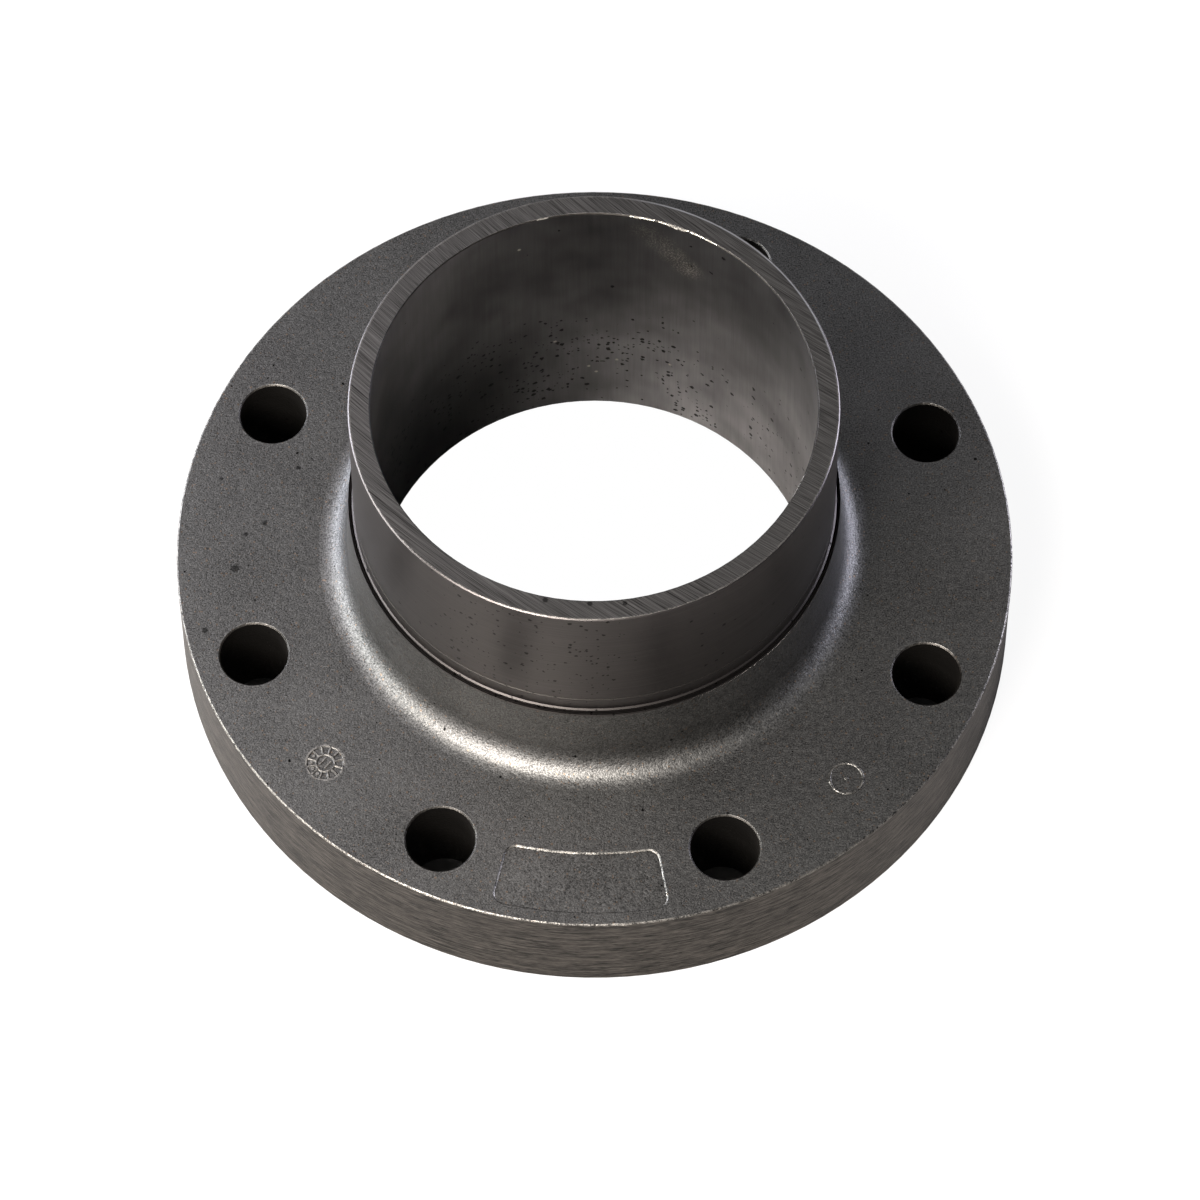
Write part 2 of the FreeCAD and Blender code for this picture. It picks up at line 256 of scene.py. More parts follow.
# %% Zones of the casting
zones, entry, answer = start_group(
    "Flange zones", [("Place", "Vector")],
    [(label, "Float") for label in (
        "Bore", "Neck", "End", "Rim", "Under", "Hole", "Painted relief shade", "Edges",
    )] + [("Round", "Vector")],
)
x, y, z = split(zones, entry["Place"])
radius = length(zones, x, y)
answer_of = {}

# Inside the bore: closer to the axis than the middle of the wall. The bore opens
# out in a lead at its foot, so the limit lies farther out down there.
LEAD_LIMIT_R, WALL_LIMIT_R = 82.0, 76.2
above_lead = soft_step(zones, z, LEAD_Z, LEAD_Z + 1.0)
limit = lay(zones, "FLOAT", above_lead, LEAD_LIMIT_R, WALL_LIMIT_R)
inside = calc(zones, "LESS_THAN", radius, limit)
outside = calc(zones, "SUBTRACT", 1.0, inside)
on_end = soft_step(zones, z, END_Z - 0.08, END_Z - 0.02)
not_end = calc(zones, "SUBTRACT", 1.0, on_end)
turned = calc(zones, "GREATER_THAN", z, RELIEF_Z)
answer_of["Bore"] = calc(zones, "MULTIPLY", inside, not_end)
answer_of["Neck"] = calc(zones, "MULTIPLY", calc(zones, "MULTIPLY", outside, turned), not_end)
answer_of["End"] = on_end

# Painted shade: the grooves and the lip at the neck's foot, the small step where
# the last cut of the lathe ended, and the inner edge of the neck's end are
# painted dark. It stands in for the shade in the grooves and on the step, and it
# dims the light that the lip and the edge catch.
GROOVE_SHADE, LIP_SHADE = 0.75, 0.6
groove_shade = calc(
    zones, "MULTIPLY", between(zones, z, RELIEF_Z - 0.1, RELIEF_Z + 0.65, 0.1),
    calc(zones, "LESS_THAN", radius, HUB_TOP_R - 0.1))
groove_shade = calc(zones, "MULTIPLY", groove_shade, GROOVE_SHADE)
at_step = between(zones, z, PASS_Z - 0.1, PASS_Z + 0.25, 0.05)
on_lip = between(zones, z, LIP_EDGE_Z - 0.3, LIP_EDGE_Z + 0.3, 0.2)
foot_shade = calc(zones, "MAXIMUM", groove_shade, calc(zones, "MULTIPLY", on_lip, LIP_SHADE))
painted_shade_outside = calc(zones, "MULTIPLY", outside, calc(zones, "MAXIMUM", foot_shade, at_step))
inner_edge = between(zones, z, END_Z - 0.5, END_Z - 0.06, 0.03)
painted_shade_inside = calc(zones, "MULTIPLY", inside, inner_edge)
answer_of["Painted relief shade"] = calc(zones, "MAXIMUM", painted_shade_outside, painted_shade_inside)

# The rim and the underside.
below_face = soft_step(zones, z, FACE_Z - 0.5, FACE_Z - 0.3, 1.0, 0.0)
near_rim = calc(zones, "GREATER_THAN", radius, RIM_TOP_R - 0.4)
answer_of["Rim"] = calc(zones, "MULTIPLY", below_face, near_rim)
answer_of["Under"] = soft_step(zones, z, 0.02, 0.08, 1.0, 0.0)

# How far a place is from the axis of the nearest bolt hole.
turn = calc(zones, "ARCTAN2", y, x)
pitch = 2 * math.pi / HOLE_COUNT
sector = calc(zones, "WRAP", turn, pitch, 0.0)
off_middle = calc(zones, "SUBTRACT", sector, pitch / 2)
along = calc(zones, "MULTIPLY_ADD", radius, calc(zones, "COSINE", off_middle), -HOLES_R)
across = calc(zones, "MULTIPLY", radius, calc(zones, "SINE", off_middle))
hole_distance = length(zones, along, across)
# Below the face, the bolt holes' walls get painted shade.
in_hole = calc(zones, "LESS_THAN", hole_distance, HOLE_R + 0.75)
in_plate = calc(zones, "LESS_THAN", z, FACE_Z - 0.12)
answer_of["Hole"] = calc(zones, "MULTIPLY", in_hole, in_plate)

# Edges that wear bright: the plate's top edge most, the neck's end half as much.
# Each is a ring: (radius, height, reach, how worn).
WORN_RINGS = (
    (RIM_TOP_R, FACE_Z - 0.2, 0.75, 1.0),
    (NECK_END_R - 0.45, END_Z - 0.02, 0.42, 0.5),
)
edge_masks = []
for ring_r, ring_z, reach, worn in WORN_RINGS:
    off_r = calc(zones, "SUBTRACT", radius, ring_r)
    off_z = calc(zones, "SUBTRACT", z, ring_z)
    gap = length(zones, off_r, off_z)
    edge_masks.append(soft_step(zones, gap, 0.25 * reach, reach, worn, 0.0))

# The holes' edges, the panel's border, and what stands proud in the two marks.
# The panel bends round the axis, so its sides and ends are measured along its
# arcs, and its corners are rounded off.
WORN_HOLE, WORN_PANEL, WORN_MARK, WORN_DIAL = 0.1, 1.0, 0.7, 0.6
near_face = between(zones, z, FACE_Z - 0.6, FACE_Z + 0.6, 0.1)
hole_edge = calc(zones, "ABSOLUTE", calc(zones, "SUBTRACT", hole_distance, HOLE_R + 0.25))
from_panel = calc(zones, "ADD", turn, math.pi / 2)
past_side = calc(
    zones, "MULTIPLY", radius, calc(
        zones, "SUBTRACT", calc(zones, "ABSOLUTE", from_panel), PANEL_HALF_SPREAD))
past_end = calc(
    zones, "SUBTRACT", calc(zones, "ABSOLUTE", calc(zones, "SUBTRACT", radius, PANEL_R)),
    PANEL_HALF_WIDTH)
out_x = calc(zones, "MAXIMUM", calc(zones, "ADD", past_side, PANEL_CORNER), 0.0)
out_y = calc(zones, "MAXIMUM", calc(zones, "ADD", past_end, PANEL_CORNER), 0.0)
round_part = length(zones, out_x, out_y)
flat_part = calc(zones, "MINIMUM", calc(zones, "MAXIMUM", past_side, past_end), -PANEL_CORNER)
panel_edge = calc(zones, "ABSOLUTE", calc(
    zones, "ADD", calc(zones, "ADD", round_part, flat_part), 0.15))
for gap, worn in ((hole_edge, WORN_HOLE), (panel_edge, WORN_PANEL)):
    near_edge = soft_step(zones, gap, 0.2, 0.75, worn, 0.0)
    edge_masks.append(calc(zones, "MULTIPLY", near_face, near_edge))
on_plate = calc(zones, "GREATER_THAN", radius, HUB_CLEAR_R)
proud = soft_step(zones, z, FACE_Z + 0.03, FACE_Z + 0.2, 0.0, WORN_MARK)
edge_masks.append(calc(zones, "MULTIPLY", on_plate, proud))
dial_x = calc(zones, "SUBTRACT", x, HOLES_R * math.cos(DIAL_TURN))
dial_y = calc(zones, "SUBTRACT", y, HOLES_R * math.sin(DIAL_TURN))
dial_distance = length(zones, dial_x, dial_y)
on_dial = soft_step(zones, dial_distance, DIAL_R, DIAL_R + 0.5, WORN_DIAL, 0.0)
above_floor = soft_step(zones, z, FACE_Z - 0.3, FACE_Z - 0.05)
edge_masks.append(calc(zones, "MULTIPLY", on_dial, above_floor))
edges = edge_masks[0]
for mask in edge_masks[1:]:
    edges = calc(zones, "MAXIMUM", edges, mask)
answer_of["Edges"] = edges

# The same place wrapped round the axis, for marks that run round or up it.
safe = calc(zones, "MAXIMUM", radius, 1.0)
answer_of["Round"] = join(zones, calc(zones, "DIVIDE", x, safe), calc(zones, "DIVIDE", y, safe), z)
for label, value in answer_of.items():
    zones.links.new(value, answer[label])
print("zones:", ", ".join(answer_of))

# %% [markdown]
# Steel shot hammered the casting clean, which leaves a fine, sparkling grain
# and soft cloudy patches. Real dents that small would need millions of faces,
# so three noises of different sizes make the colour, the gloss and a height
# that Bump turns into tiny dents. A few rusty specks are left in it. Both the
# iron and the torn burr use it.

# %% Blasted grain
blasted, entry, answer = start_group(
    "Blasted grain", [("Place", "Vector")],
    [(label, "Float") for label in (
        "Shade", "Roughness", "Height", "Fine", "Lumps", "Clouds", "Specks")],
)
# How many of each there are to a millimetre.
FINE_GRAIN, LUMPS, CLOUDS, SPECKS = 1.9, 0.5, 0.035, 1.3
SPECK_SIZE, SPECK_SHARE = 0.60, 0.12
place = entry["Place"]
fine = noise(blasted, place, FINE_GRAIN, 1.0, 0.6)
lumps = noise(blasted, place, LUMPS, 1.0, 0.6)
clouds = noise(blasted, place, CLOUDS, 2.0, 0.6)
specks = speckles(blasted, place, SPECKS, SPECK_SIZE, SPECK_SHARE)

# Each noise is 0.5 on average, so the shade is 1 on average.
shade = calc(blasted, "MULTIPLY_ADD", fine, 2.5, -0.75)
shade = calc(blasted, "MULTIPLY_ADD", clouds, 0.6, shade)
shade = calc(blasted, "MULTIPLY_ADD", lumps, 0.4, shade)
gloss = calc(blasted, "MULTIPLY_ADD", lumps, 0.16, 0.40)
height = calc(blasted, "MULTIPLY_ADD", lumps, 0.12, calc(blasted, "MULTIPLY", fine, 0.10))
for label, value in (
    ("Shade", shade), ("Roughness", gloss), ("Height", height), ("Fine", fine),
    ("Lumps", lumps), ("Clouds", clouds), ("Specks", specks),
):
    blasted.links.new(value, answer[label])
print("blasted grain: %d nodes" % len(blasted.nodes))

# %% [markdown]
# Each tool leaves its own lines. A lathe draws fine rings round the neck, the
# saw that cut the end left long shallow arcs, a grinder left short streaks on
# the rim, and the mould's core scraped the bore upwards. All four are one
# effect: noise stretched along the tool's path. The group takes a place that is
# already stretched that way.

# %% Tool marks
marks, entry, answer = start_group(
    "Tool marks", [("Path", "Vector"), ("Depth", "Float"), ("Contrast", "Float")],
    [("Shade", "Float"), ("Height", "Float")],
)
COARSE_SHARE, DARKEST_MARK = 0.6, 0.1
coarse = noise(marks, entry["Path"], 0.35, 0.0)
close = noise(marks, entry["Path"], 1.0, 1.0, 0.7)
together = calc(marks, "MULTIPLY_ADD", coarse, COARSE_SHARE, close)
from_mean = calc(marks, "SUBTRACT", together, 0.5 * (1.0 + COARSE_SHARE))
shade = calc(marks, "MULTIPLY_ADD", from_mean, entry["Contrast"], 1.0)
marks.links.new(calc(marks, "MAXIMUM", shade, DARKEST_MARK), answer["Shade"])
marks.links.new(calc(marks, "MULTIPLY", together, entry["Depth"]), answer["Height"])
print("tool marks: %d nodes" % len(marks.nodes))

# %% [markdown]
# Now the iron itself. It is dark grey metal, so it is fully metallic, and its
# Base Color is how much it reflects. Each finish is laid over the one before
# it with its zone's mask, first in colour, then in gloss and height.

# %% The iron
IRON = (0.091, 0.090, 0.088, 1.0)
BARE = (0.30, 0.285, 0.265, 1.0)
# Painted highlight: the bright bluish line on the neck end's edge at the right back.
PAINTED_BACK_HIGHLIGHT = (0.70, 0.71, 0.76, 1.0)
BARE_IN_BORE = (0.62, 0.58, 0.50, 1.0)
RUST = (0.125, 0.098, 0.078, 1.0)
WARM_RIM = (0.073, 0.0645, 0.0575, 1.0)
CUT_METAL = (0.096, 0.092, 0.089, 1.0)
TURNED_METAL = (0.089, 0.081, 0.080, 1.0)
BORE_METAL = (0.177, 0.172, 0.174, 1.0)
# Painted shade: the near black laid in the grooves and down the bolt holes' walls.
PAINTED_SHADE_COLOUR = (0.030, 0.028, 0.026, 1.0)
# How much darker the flat face is painted: a painted shade.
FLAT_FACE_PAINTED_SHADE = 0.80
PORE_SHADE = 0.07

iron = bpy.data.materials.new("Cast iron")
iron.use_nodes = True
tree = iron.node_tree
shader = tree.nodes["Principled BSDF"]
shader.inputs["Metallic"].default_value = 1.0

place = place_in_mm(tree)
zone = use_group(tree, zones, place=place)
round_x, round_y, up = split(tree, zone["Round"])
x, y, z = split(tree, place)


def wrapped(around, upward):
    """A place for marks: so many lumps to a radian round the axis, so many to a millimetre up."""
    return join(
        tree, calc(tree, "MULTIPLY", round_x, around), calc(tree, "MULTIPLY", round_y, around),
        calc(tree, "MULTIPLY", up, upward))


grain = use_group(tree, blasted, place=place)
print("iron: %d nodes so far" % len(tree.nodes))

# %% [markdown]
# The saw's arcs are rings round a far centre, so they cross the neck's end as
# near-straight slanting lines. Together with the lathe's rings, the rim's
# grinding and the bore's scrapes they make one path that changes with the zone.

# %% The tools' paths
# Where the saw's axle was, in millimetres, and how closely each tool's lines lie.
SAW_X, SAW_Y = 400.0, 520.0
SAW_LINES, SAW_BREAKS = 7.5, 50.0
LATHE_LINES, RIM_LINES, BORE_LINES = (6.0, 5.0), (44.0, 3.4), (110.0, 0.05)
to_saw_x = calc(tree, "SUBTRACT", x, SAW_X)
to_saw_y = calc(tree, "SUBTRACT", y, SAW_Y)
saw_r = length(tree, to_saw_x, to_saw_y)
saw_turn = calc(tree, "ARCTAN2", to_saw_y, to_saw_x)
sawn = join(
    tree, calc(tree, "MULTIPLY", saw_r, SAW_LINES), calc(tree, "MULTIPLY", saw_turn, SAW_BREAKS), 0.0)

# The lathe's path comes first, and the others are laid over it: (where, path,
# depth in millimetres, contrast).
path, depth, contrast = wrapped(*LATHE_LINES), 0.006, 0.5
for mask, tool_path, tool_depth, tool_contrast in (
    (zone["Rim"], wrapped(*RIM_LINES), 0.06, 3.9),
    (zone["Bore"], wrapped(*BORE_LINES), 0.012, 0.3),
    (zone["End"], sawn, 0.04, 2.6),
):
    path = lay(tree, "VECTOR", mask, path, tool_path)
    depth = lay(tree, "FLOAT", mask, depth, tool_depth)
    contrast = lay(tree, "FLOAT", mask, contrast, tool_contrast)
tooled = use_group(tree, marks, path=path, depth=depth, contrast=contrast)
print("paths: lathe, rim, bore, saw")

# %% [markdown]
# Gas bubbles left dark pores: a crowd of them low in the bore, which was never
# machined, and a few pinholes on the neck and the face. One set of ragged spots
# makes them all, and the zones say how many there are and how large.

# %% Pores


def polar(r, turn, z_here):
    """A place from its distance to the axis, its angle in degrees and its height."""
    angle = math.radians(turn)
    return (r * math.cos(angle), r * math.sin(angle), z_here)


def bore_r(z_here):
    """The bore's radius at a height."""
    return BORE_END_R + (BORE_FOOT_R - BORE_END_R) * (END_Z - z_here) / (END_Z - LEAD_Z)


# The share of places that hold a pore, how much a crowd adds to it, and how
# large the pores may be.
PORES = 0.58
FACE_SHARE, FACE_SIZE = 0.03, 0.34
BORE_SHARE, BORE_CROWD, BORE_SIZE = 0.015, 0.55, 0.60
NECK_SHARE, NECK_CROWD, NECK_SIZE = 0.04, 0.36, 0.46
CROWD_LOW_Z, CROWD_HIGH_Z, CROWD_SOFT = 8.0, 60.0, 14.0
low_band = between(tree, z, CROWD_LOW_Z, CROWD_HIGH_Z, CROWD_SOFT)
crowd = calc(tree, "MULTIPLY", low_band, soft_step(tree, grain["Clouds"], 0.45, 0.56, 0.12, 1.0))
bore_share = calc(tree, "MULTIPLY_ADD", crowd, BORE_CROWD, BORE_SHARE)
neck_front = between(tree, round_x, -0.62, 0.12, 0.10)
neck_front = calc(tree, "MULTIPLY", neck_front, soft_step(tree, round_y, -0.3, 0.2, 1.0, 0.0))
neck_share = calc(tree, "MULTIPLY_ADD", neck_front, NECK_CROWD, NECK_SHARE)
share = lay(tree, "FLOAT", zone["Bore"], FACE_SHARE, bore_share)
share = lay(tree, "FLOAT", zone["Neck"], share, neck_share)
size = lay(tree, "FLOAT", zone["Bore"], FACE_SIZE, BORE_SIZE)
size = lay(tree, "FLOAT", zone["Neck"], size, NECK_SIZE)
ragged = calc(tree, "MULTIPLY_ADD", grain["Fine"], 0.56, -0.28)
pores = speckles(tree, place, PORES, size, share, ragged)
pores = calc(tree, "MULTIPLY", pores, calc(tree, "SUBTRACT", 1.0, zone["End"]))

# Worn edges are patchy. At the right back of the neck's end, where the saw came
# out, the edge is worn all along and painted bright and bluish, a painted highlight.
rubbed = calc(tree, "MULTIPLY_ADD", grain["Clouds"], 0.8, grain["Lumps"])
rubbed = calc(tree, "MULTIPLY_ADD", grain["Fine"], 1.4, rubbed)
back_edge_painted_highlight = calc(tree, "MULTIPLY", zone["End"], between(tree, round_x, 0.15, 1.1, 0.2))
back_edge_painted_highlight = calc(tree, "MULTIPLY", back_edge_painted_highlight, soft_step(tree, round_y, 0.0, 0.4))
patchy = calc(tree, "MAXIMUM", soft_step(tree, rubbed, 1.30, 1.85), back_edge_painted_highlight)
wear = calc(tree, "MULTIPLY", zone["Edges"], patchy)

# Larger pits on the face and dents in the neck's end: (radius, turn, height, reach).
PIT_DEPTH = 0.65
PITS = (
    (120.3, -173.2, FACE_Z, 2.0), (133.1, -163.6, FACE_Z, 1.5), (110.8, 178.2, FACE_Z, 1.3),
    (116.8, -179.5, FACE_Z, 1.1), (104.0, 166.0, FACE_Z, 1.0), (128.0, 171.0, FACE_Z, 0.9),
    (113.0, 158.0, FACE_Z, 0.8), (72.2, -100.0, END_Z, 1.2), (71.9, -89.0, END_Z, 1.2),
    (72.4, -80.4, END_Z, 1.1),
)
for pit_r, pit_turn, pit_z, reach in PITS:
    pit = spot(tree, place, polar(pit_r, pit_turn, pit_z), reach, 0.5 * reach, ragged)
    pores = calc(tree, "MAXIMUM", pores, calc(tree, "MULTIPLY", pit, PIT_DEPTH))

# Bright flecks in the bore: (turn, height).
FLECKS = ((112.0, 116.0), (91.5, 27.0), (93.5, 31.0), (71.5, 40.0), (102.5, 50.0), (86.0, 36.0))
for turn, fleck_z in FLECKS:
    fleck = spot(tree, place, polar(bore_r(fleck_z), turn, fleck_z), 0.75, 0.4, ragged)
    wear = calc(tree, "MAXIMUM", wear, fleck)

# A patch in the bore, scraped by a tool that slipped, gets stronger downwards:
# (turn, height, how worn).
SCRAPES = ((78.0, 123.5, 0.25), (74.0, 118.5, 0.4), (70.5, 113.5, 0.6), (66.8, 108.5, 0.8))
SCRAPE_REACH, SCRAPE_SOFT = 8.0, 7.5
slipped = 0.0
for turn, patch_z, worn in SCRAPES:
    patch = spot(tree, place, polar(bore_r(patch_z), turn, patch_z), SCRAPE_REACH, SCRAPE_SOFT)
    slipped = calc(tree, "MAXIMUM", slipped, calc(tree, "MULTIPLY", patch, worn))
scraped = calc(tree, "MULTIPLY", slipped, soft_step(tree, grain["Fine"], 0.46, 0.66, 0.08, 1.0))
wear = calc(tree, "MAXIMUM", wear, calc(tree, "MULTIPLY", scraped, zone["Bore"]))
print("pores, %d pits and worn edges placed" % len(PITS))

# %% [markdown]
# Every finish is laid in its zone, over the blasted iron. The table says where,
# in which metal and how rough. The painted shade of the grooves and the holes
# comes last, since they cut into the others.

# %% Lay the finishes
tool_shade, tool_height = tooled["Shade"], tooled["Height"]
colour = lay(tree, "RGBA", grain["Specks"], IRON, RUST)
gloss, machined = grain["Roughness"], 0.0
for mask, metal, layer_gloss in (
    (zone["Rim"], WARM_RIM, 0.44),
    (zone["Bore"], BORE_METAL, 0.42),
    (zone["Neck"], TURNED_METAL, 0.34),
    (zone["End"], CUT_METAL, 0.40),
    (zone["Under"], TURNED_METAL, 0.38),
    # The last two rows lay painted shade in the grooves, on the lip, step and inner edge, and down the
    # holes' walls.
    (zone["Painted relief shade"], PAINTED_SHADE_COLOUR, 0.50),
    (zone["Hole"], PAINTED_SHADE_COLOUR, 0.50),
):
    colour = lay(tree, "RGBA", mask, colour, metal)
    gloss = lay(tree, "FLOAT", mask, gloss, layer_gloss)
    machined = calc(tree, "MAXIMUM", machined, mask)

# The bore's colour is cloudy. Low down it has painted shade on the left and
# painted light on the right, while higher up it is the same all round, darker
# than low down in the middle.
BORE_GRADIENT_LOW_Z, BORE_GRADIENT_HIGH_Z = 20.0, 112.0
BORE_LEFT_PAINTED_SHADE, BORE_RIGHT_PAINTED_LIGHT, BORE_UPPER_LEVEL = 0.35, 2.9, 0.72
cloudy = calc(tree, "MULTIPLY_ADD", grain["Clouds"], 1.7, 0.15)
low_painted_light_and_shade = soft_step(tree, round_x, -0.7, 0.8, BORE_LEFT_PAINTED_SHADE, BORE_RIGHT_PAINTED_LIGHT)
bore_painted_light_and_level = soft_step(tree, z, BORE_GRADIENT_LOW_Z, BORE_GRADIENT_HIGH_Z, low_painted_light_and_shade, BORE_UPPER_LEVEL)
bore_tone_and_painted_light = calc(tree, "MULTIPLY", cloudy, bore_painted_light_and_level)
tool_shade = calc(tree, "MULTIPLY", tool_shade, lay(tree, "FLOAT", zone["Bore"], 1.0, bore_tone_and_painted_light))
# Painted shade: the flat face is painted darker than the fillet that rises from it.
flat_painted_shade = soft_step(tree, z, FACE_Z + 0.1, FACE_Z + 1.2, FLAT_FACE_PAINTED_SHADE, 1.0)
shade = lay(tree, "FLOAT", machined, calc(tree, "MULTIPLY", grain["Shade"], flat_painted_shade), tool_shade)
shade = calc(tree, "MULTIPLY", shade, soft_step(tree, pores, 0.0, 1.0, 1.0, PORE_SHADE))
by_tool = calc(
    tree, "MAXIMUM", calc(tree, "MAXIMUM", zone["Rim"], zone["Bore"]),
    calc(tree, "MAXIMUM", zone["Neck"], zone["End"]))
height = lay(tree, "FLOAT", by_tool, grain["Height"], tool_height)

# Worn metal is bare and bright, so it goes over all the others. At the right back
# of the neck's end its bluish colour is a painted highlight.
BARE_GLOSS = 0.4
bare = lay(tree, "RGBA", back_edge_painted_highlight, lay(tree, "RGBA", zone["Bore"], BARE, BARE_IN_BORE), PAINTED_BACK_HIGHLIGHT)
put(tree, lay(tree, "RGBA", wear, times(tree, colour, shade), bare), shader.inputs["Base Color"])
put(tree, lay(tree, "FLOAT", wear, gloss, BARE_GLOSS), shader.inputs["Roughness"])

# The CAD mesh has a seam up its +X side, where the light would jump. On a turned
# face the normal has no part that points sideways round the axis, so a small one
# is taken out there. A large one belongs to a hole or a mark, and it stays.
TURNED_LIMIT, CAST_LIMIT = 0.04, 0.08
normal = tree.nodes.new("ShaderNodeNewGeometry").outputs["Normal"]
normal_x, normal_y, normal_z = split(tree, normal)
sideways = calc(
    tree, "SUBTRACT", calc(tree, "MULTIPLY", normal_y, round_x),
    calc(tree, "MULTIPLY", normal_x, round_y))
taken_out = calc(tree, "MULTIPLY", sideways, soft_step(
    tree, calc(tree, "ABSOLUTE", sideways), TURNED_LIMIT, CAST_LIMIT, 1.0, 0.0))
true_normal = join(
    tree, calc(tree, "MULTIPLY_ADD", taken_out, round_y, normal_x),
    calc(tree, "SUBTRACT", normal_y, calc(tree, "MULTIPLY", taken_out, round_x)), normal_z)
bump = tree.nodes.new("ShaderNodeBump")
bump.inputs["Distance"].default_value = MM
put(tree, height, bump.inputs["Height"])
put(tree, true_normal, bump.inputs["Normal"])
tree.links.new(bump.outputs["Normal"], shader.inputs["Normal"])
flange.data.materials.clear()
flange.data.materials.append(iron)
print("iron laid on", flange.name)

# %% [markdown]
# The saw tore a thin burr along the inner edge of the neck's end. It stands
# out as bright ragged slivers against the dark bore. A texture couldn't catch
# the light this way, so each sliver is real: a row of small wedges whose tips
# wander in and out.

# %% Torn burrs
torn = bpy.data.materials.new("Torn bare metal")
torn.use_nodes = True
torn_tree = torn.node_tree
torn_shader = torn_tree.nodes["Principled BSDF"]
torn_shader.inputs["Metallic"].default_value = 1.0
DULL_TORN, BRIGHT_TORN = (0.20, 0.19, 0.17, 1.0), (0.52, 0.50, 0.46, 1.0)
torn_grain = use_group(torn_tree, blasted, place=place_in_mm(torn_tree))
bright = soft_step(torn_tree, torn_grain["Shade"], 0.5, 1.4)
put(torn_tree, lay(torn_tree, "RGBA", bright, DULL_TORN, BRIGHT_TORN), torn_shader.inputs["Base Color"])
put(torn_tree, soft_step(torn_tree, bright, 0.0, 1.0, 0.45, 0.25), torn_shader.inputs["Roughness"])


# How many degrees lie from one wedge to the next, and how far its tip may wander.
STEP = 0.35
WANDER = 0.28


def torn_sliver(name, start, end, reach, seed):
    """A ragged wedge along the inner edge from one angle to another, in degrees."""
    pick = random.Random(seed)
    steps = max(int((end - start) / STEP), 4)
    root_r, top = BORE_END_R + 0.28, END_Z - 0.12
    points, faces = [], []
    lean = 0.5
    for i in range(steps + 1):
        share = i / steps
        turn = math.radians(start + (end - start) * share)
        lean = min(max(lean + pick.uniform(-WANDER, WANDER), 0.15), 1.0)
        thin_ends = math.sin(math.pi * share) ** 0.4
        tip = reach * lean * thin_ends
        for r, z_here in (
            (root_r, top),
            (root_r - 0.22, top - 0.5),
            (root_r - 0.2 - tip, top - 0.35 - 0.35 * tip),
            (root_r - 0.15 - 0.7 * tip, top - 0.12 - 0.15 * tip),
        ):
            points.append(Vector((r * math.cos(turn), r * math.sin(turn), z_here)) * MM)
        if i:
            a, b = 4 * (i - 1), 4 * i
            for k in range(4):
                faces.append((a + k, a + (k + 1) % 4, b + (k + 1) % 4, b + k))
    faces.append((3, 2, 1, 0))
    last = 4 * steps
    faces.append((last, last + 1, last + 2, last + 3))
    mesh = bpy.data.meshes.new(name)
    mesh.from_pydata(points, [], faces)
    mesh.materials.append(torn)
    sliver = bpy.data.objects.new(name, mesh)
    bpy.context.scene.collection.objects.link(sliver)
    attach(sliver, "root")
    return sliver


# (name, first angle, last angle, reach in millimetres, seed)
slivers = [
    torn_sliver("torn_burr_back", 76.0, 82.5, 0.35, 3),
    torn_sliver("torn_burr_right_back", 66.5, 74.8, 0.45, 5),
    torn_sliver("torn_burr_far_right", 58.0, 66.0, 0.25, 21),
    torn_sliver("torn_burr_left_back", 104.0, 107.0, 0.35, 8),
    torn_sliver("torn_burr_right", -27.0, -20.0, 0.25, 13),
]
print("burrs:", ", ".join(sliver.name for sliver in slivers))

# %% [markdown]
# The photographer stood in front of the panel and well above it, with a long
# lens. The numbers are where the camera stood, round and above the flange, and
# the small turn of the picture.

# %% Camera
CAMERA_SIDE = math.radians(2.19)
CAMERA_RISE = math.radians(62.06)
CAMERA_DISTANCE = 1.4748
AIM = Vector((1.83, -0.63, -0.37)) * MM
CAMERA_ROLL = math.radians(-0.12)
LENS = 129.05

camera = bpy.data.objects.new("Camera", bpy.data.cameras.new("Camera"))
bpy.context.scene.collection.objects.link(camera)
bpy.context.scene.camera = camera
camera.data.lens = LENS
camera.data.sensor_width = 36.0
flat = CAMERA_DISTANCE * math.cos(CAMERA_RISE)
camera.location = (
    flat * math.sin(CAMERA_SIDE), -flat * math.cos(CAMERA_SIDE),
    CAMERA_DISTANCE * math.sin(CAMERA_RISE))
looking = (AIM - camera.location).to_track_quat("-Z", "Y")
camera.rotation_mode = "QUATERNION"
camera.rotation_quaternion = looking @ Quaternion((0, 0, 1), CAMERA_ROLL)
print("camera at", [round(v, 3) for v in camera.location])

# %% [markdown]
# One large warm lamp stands high at the front left and does most of the work.
# A low one under it warms the rim, and a small one lights the bore's right
# wall. Low cool lamps behind, left and right, draw the bluish lines on the root
# fillet, and a weak high one lifts the face at the back left. Soft lamps are
# large ones, so each is a wide panel.

# %% Lamps
LAMPS = {
    # name: (turn, rise, distance, width, height, power, colour)
    "key": (-118.0, 45.0, 1.1, 0.50, 0.45, 42.0, (1.0, 0.94, 0.87)),
    "low_key": (-125.0, 18.0, 1.1, 0.45, 0.3, 5.7, (1.0, 0.93, 0.90)),
    "left": (185.0, 25.0, 0.8, 0.4, 0.3, 6.8, (0.98, 1.0, 0.98)),
    "left_back_low": (152.0, 10.0, 0.8, 0.5, 0.2, 6.4, (0.84, 0.88, 1.0)),
    "left_back_high": (150.0, 45.0, 0.9, 0.5, 0.5, 3.6, (0.96, 0.92, 1.0)),
    "right_back_low": (28.0, 10.0, 0.8, 0.5, 0.2, 5.3, (0.83, 0.84, 1.0)),
}
LAMPS_AIM = Vector((0.0, 0.0, FACE_Z * MM))


